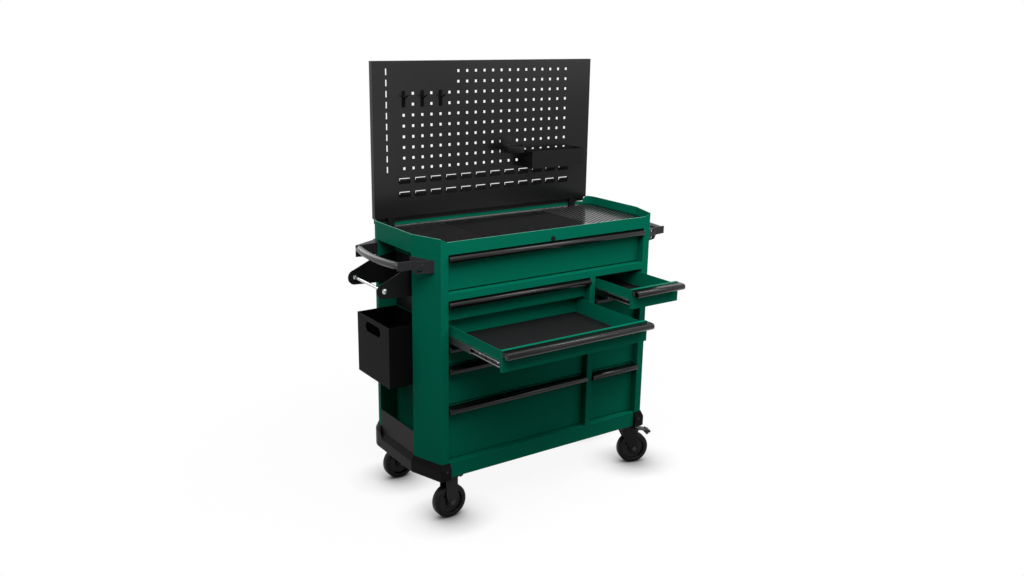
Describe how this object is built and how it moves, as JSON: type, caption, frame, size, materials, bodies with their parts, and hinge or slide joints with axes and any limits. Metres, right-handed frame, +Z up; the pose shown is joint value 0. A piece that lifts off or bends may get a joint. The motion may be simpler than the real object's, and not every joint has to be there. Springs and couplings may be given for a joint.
{
  "type": "tool cabinet",
  "caption": "Wheeled tool cabinet with recessed worktop, perforated back board, drawers on telescopic slides, end push bars, a hanging bin and a roll holder.",
  "frame": {"origin": "on the floor below the middle of the cabinet body", "axes": "+Z up, +Y from the drawers to the back, +X to the right seen from the front"},
  "size_m": [1.2324, 0.8055, 1.572],
  "materials": {
    "green_coat": "satin green powder coat on sheet steel",
    "black_coat": "matt black powder coat on sheet steel",
    "grey_coat": "dark grey powder coat on sheet steel",
    "mat_black": "glossy black moulded mat",
    "bumper_black": "satin black moulded bumper",
    "pull_black": "satin black pull profile",
    "bar_grey": "satin dark grey tube",
    "bracket_black": "satin black moulded bracket",
    "slide_zinc": "bright zinc-plated steel",
    "bright_steel": "bright steel rod",
    "lock_dark": "dark plated lock",
    "caster_steel": "black-coated pressed steel",
    "pedal_grey": "dark grey moulded pedal",
    "wheel_rubber": "black rubber tyre on a black hub"
  },
  "bodies": {
    "cabinet": {"end_frames": "green_coat", "face_frame": "green_coat", "back_panel": "green_coat", "base_pan": "green_coat", "centre_wall": "green_coat", "worktop_tray": "green_coat", "worktop_mat": "mat_black", "end_bumpers": "bumper_black", "slide_channels": "slide_zinc", "push_bars": "bar_grey", "push_brackets": "bracket_black", "pegboard": "black_coat", "board_posts": "black_coat", "board_hooks": "black_coat", "cup_holder": "black_coat", "can_pocket": "black_coat", "side_bin": "black_coat", "roll_bracket": "black_coat", "side_pocket": "grey_coat", "caster_mounts": "caster_steel"},
    "top_drawer": {"top_drawer": "green_coat", "top_pull": "pull_black"},
    "top_midrails": {"top_midrails": "slide_zinc"},
    "left_1_drawer": {"left_1_drawer": "green_coat", "left_1_pull": "pull_black"},
    "left_1_midrails": {"left_1_midrails": "slide_zinc"},
    "left_2_drawer": {"left_2_drawer": "green_coat", "left_2_pull": "pull_black"},
    "left_2_midrails": {"left_2_midrails": "slide_zinc"},
    "left_3_drawer": {"left_3_drawer": "green_coat", "left_3_pull": "pull_black"},
    "left_3_midrails": {"left_3_midrails": "slide_zinc"},
    "left_4_drawer": {"left_4_drawer": "green_coat", "left_4_pull": "pull_black"},
    "left_4_midrails": {"left_4_midrails": "slide_zinc"},
    "left_5_drawer": {"left_5_drawer": "green_coat", "left_5_pull": "pull_black"},
    "left_5_midrails": {"left_5_midrails": "slide_zinc"},
    "right_1_drawer": {"right_1_drawer": "green_coat", "right_1_pull": "pull_black"},
    "right_1_midrails": {"right_1_midrails": "slide_zinc"},
    "right_2_drawer": {"right_2_drawer": "green_coat", "right_2_pull": "pull_black"},
    "right_2_midrails": {"right_2_midrails": "slide_zinc"},
    "right_3_drawer": {"right_3_drawer": "green_coat", "right_3_pull": "pull_black"},
    "right_3_midrails": {"right_3_midrails": "slide_zinc"},
    "right_4_drawer": {"right_4_drawer": "green_coat", "right_4_pull": "pull_black"},
    "right_4_midrails": {"right_4_midrails": "slide_zinc"},
    "lock": {"lock_cylinder": "lock_dark"},
    "roll_holder_spindle": {"roll_spindle": "bright_steel"},
    "front_swivel": {"front_swivel_fork": "caster_steel"},
    "front_brake": {"front_brake_pedal": "pedal_grey"},
    "front_right_wheel": {"front_right_wheel": "wheel_rubber"},
    "front_left_wheel": {"front_left_wheel": "wheel_rubber"},
    "rear_swivel": {"rear_swivel_fork": "caster_steel"},
    "rear_brake": {"rear_brake_pedal": "pedal_grey"},
    "rear_right_wheel": {"rear_right_wheel": "wheel_rubber"},
    "rear_left_wheel": {"rear_left_wheel": "wheel_rubber"}
  },
  "joints": [
    {"name": "top_drawer_slide", "type": "slide", "parent": "cabinet", "child": "top_drawer", "axis": [0, -1, 0], "range_m": [0, 0.36]},
    {"name": "top_midrail_slide", "type": "slide", "parent": "cabinet", "child": "top_midrails", "axis": [0, -1, 0], "range_m": [0, 0.18]},
    {"name": "left_1_drawer_slide", "type": "slide", "parent": "cabinet", "child": "left_1_drawer", "axis": [0, -1, 0], "range_m": [0, 0.36]},
    {"name": "left_1_midrail_slide", "type": "slide", "parent": "cabinet", "child": "left_1_midrails", "axis": [0, -1, 0], "range_m": [0, 0.18]},
    {"name": "left_2_drawer_slide", "type": "slide", "parent": "cabinet", "child": "left_2_drawer", "axis": [0, -1, 0], "range_m": [-0.342, 0.018]},
    {"name": "left_2_midrail_slide", "type": "slide", "parent": "cabinet", "child": "left_2_midrails", "axis": [0, -1, 0], "range_m": [-0.171, 0.009]},
    {"name": "left_3_drawer_slide", "type": "slide", "parent": "cabinet", "child": "left_3_drawer", "axis": [0, -1, 0], "range_m": [0, 0.36]},
    {"name": "left_3_midrail_slide", "type": "slide", "parent": "cabinet", "child": "left_3_midrails", "axis": [0, -1, 0], "range_m": [0, 0.18]},
    {"name": "left_4_drawer_slide", "type": "slide", "parent": "cabinet", "child": "left_4_drawer", "axis": [0, -1, 0], "range_m": [0, 0.36]},
    {"name": "left_4_midrail_slide", "type": "slide", "parent": "cabinet", "child": "left_4_midrails", "axis": [0, -1, 0], "range_m": [0, 0.18]},
    {"name": "left_5_drawer_slide", "type": "slide", "parent": "cabinet", "child": "left_5_drawer", "axis": [0, -1, 0], "range_m": [0, 0.36]},
    {"name": "left_5_midrail_slide", "type": "slide", "parent": "cabinet", "child": "left_5_midrails", "axis": [0, -1, 0], "range_m": [0, 0.18]},
    {"name": "right_1_drawer_slide", "type": "slide", "parent": "cabinet", "child": "right_1_drawer", "axis": [0, -1, 0], "range_m": [-0.226, 0.134]},
    {"name": "right_1_midrail_slide", "type": "slide", "parent": "cabinet", "child": "right_1_midrails", "axis": [0, -1, 0], "range_m": [-0.113, 0.067]},
    {"name": "right_2_drawer_slide", "type": "slide", "parent": "cabinet", "child": "right_2_drawer", "axis": [0, -1, 0], "range_m": [0, 0.36]},
    {"name": "right_2_midrail_slide", "type": "slide", "parent": "cabinet", "child": "right_2_midrails", "axis": [0, -1, 0], "range_m": [0, 0.18]},
    {"name": "right_3_drawer_slide", "type": "slide", "parent": "cabinet", "child": "right_3_drawer", "axis": [0, -1, 0], "range_m": [0, 0.36]},
    {"name": "right_3_midrail_slide", "type": "slide", "parent": "cabinet", "child": "right_3_midrails", "axis": [0, -1, 0], "range_m": [0, 0.18]},
    {"name": "right_4_drawer_slide", "type": "slide", "parent": "cabinet", "child": "right_4_drawer", "axis": [0, -1, 0], "range_m": [0, 0.36]},
    {"name": "right_4_midrail_slide", "type": "slide", "parent": "cabinet", "child": "right_4_midrails", "axis": [0, -1, 0], "range_m": [0, 0.18]},
    {"name": "lock_turn", "type": "hinge", "parent": "cabinet", "child": "lock", "pos_m": [0, -0.22, 0.975], "axis": [0, 1, 0], "range_deg": [0, 90]},
    {"name": "roll_spin", "type": "hinge", "parent": "cabinet", "child": "roll_holder_spindle", "pos_m": [-0.596, 0.0315, 0.834], "axis": [0, 1, 0], "continuous": true},
    {"name": "front_swivel_turn", "type": "hinge", "parent": "cabinet", "child": "front_swivel", "pos_m": [0.41, -0.187, 0.153], "axis": [0, 0, 1], "continuous": true},
    {"name": "front_right_wheel_spin", "type": "hinge", "parent": "front_swivel", "child": "front_right_wheel", "pos_m": [0.44383, -0.19931, 0.0625], "axis": [0.342, 0.9397, 0], "continuous": true},
    {"name": "front_left_wheel_spin", "type": "hinge", "parent": "cabinet", "child": "front_left_wheel", "pos_m": [-0.41, -0.187, 0.0625], "axis": [0, 1, 0], "continuous": true},
    {"name": "front_brake_press", "type": "hinge", "parent": "front_swivel", "child": "front_brake", "pos_m": [0.45135, -0.20205, 0.1396], "axis": [0.342, 0.9397, 0], "range_deg": [0, 14]},
    {"name": "rear_swivel_turn", "type": "hinge", "parent": "cabinet", "child": "rear_swivel", "pos_m": [0.41, 0.187, 0.153], "axis": [0, 0, 1], "continuous": true},
    {"name": "rear_right_wheel_spin", "type": "hinge", "parent": "rear_swivel", "child": "rear_right_wheel", "pos_m": [0.446, 0.187, 0.0625], "axis": [0, 1, 0], "continuous": true},
    {"name": "rear_left_wheel_spin", "type": "hinge", "parent": "cabinet", "child": "rear_left_wheel", "pos_m": [-0.41, 0.187, 0.0625], "axis": [0, 1, 0], "continuous": true},
    {"name": "rear_brake_press", "type": "hinge", "parent": "rear_swivel", "child": "rear_brake", "pos_m": [0.454, 0.187, 0.1396], "axis": [0, 1, 0], "range_deg": [0, 14]}
  ],
  "couplings": [
    {"joint": "top_midrail_slide", "follows": "top_drawer_slide", "ratio": 0.5},
    {"joint": "left_1_midrail_slide", "follows": "left_1_drawer_slide", "ratio": 0.5},
    {"joint": "left_2_midrail_slide", "follows": "left_2_drawer_slide", "ratio": 0.5},
    {"joint": "left_3_midrail_slide", "follows": "left_3_drawer_slide", "ratio": 0.5},
    {"joint": "left_4_midrail_slide", "follows": "left_4_drawer_slide", "ratio": 0.5},
    {"joint": "left_5_midrail_slide", "follows": "left_5_drawer_slide", "ratio": 0.5},
    {"joint": "right_1_midrail_slide", "follows": "right_1_drawer_slide", "ratio": 0.5},
    {"joint": "right_2_midrail_slide", "follows": "right_2_drawer_slide", "ratio": 0.5},
    {"joint": "right_3_midrail_slide", "follows": "right_3_drawer_slide", "ratio": 0.5},
    {"joint": "right_4_midrail_slide", "follows": "right_4_drawer_slide", "ratio": 0.5}
  ]
}
